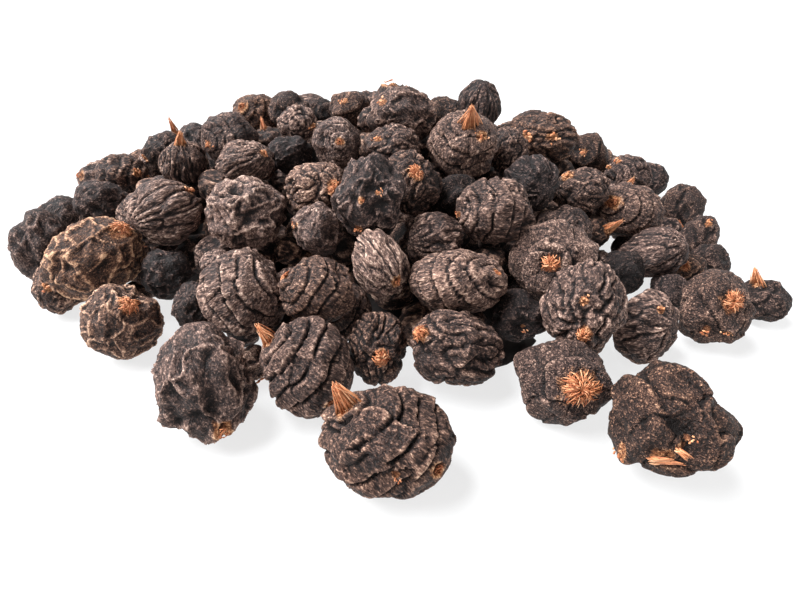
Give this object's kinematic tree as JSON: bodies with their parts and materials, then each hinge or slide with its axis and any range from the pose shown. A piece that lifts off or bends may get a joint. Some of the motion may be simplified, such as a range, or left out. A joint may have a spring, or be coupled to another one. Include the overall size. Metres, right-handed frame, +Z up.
{
  "type": "heap of dried tiger nuts",
  "caption": "Loose heap of dried, wrinkled black tiger nuts lying on a flat surface, low and wide, with a few stray nuts at its front edge.",
  "frame": {"origin": "middle of the heap's footprint, on the surface it lies on", "axes": "+X along the heap's width, to the right in the picture; +Y away from the picture's viewpoint, along its depth; +Z up"},
  "size_m": [0.1416, 0.119, 0.0323],
  "materials": {
    "nut_skin": "matte dark brown to black wrinkled skin, paler on the crests of its folds",
    "husk_fibre": "dry orange-brown tufts of husk fibre and small scars"
  },
  "bodies": {
    "root": {"tiger_nut_heap": "nut_skin"}
  },
  "joints": []
}
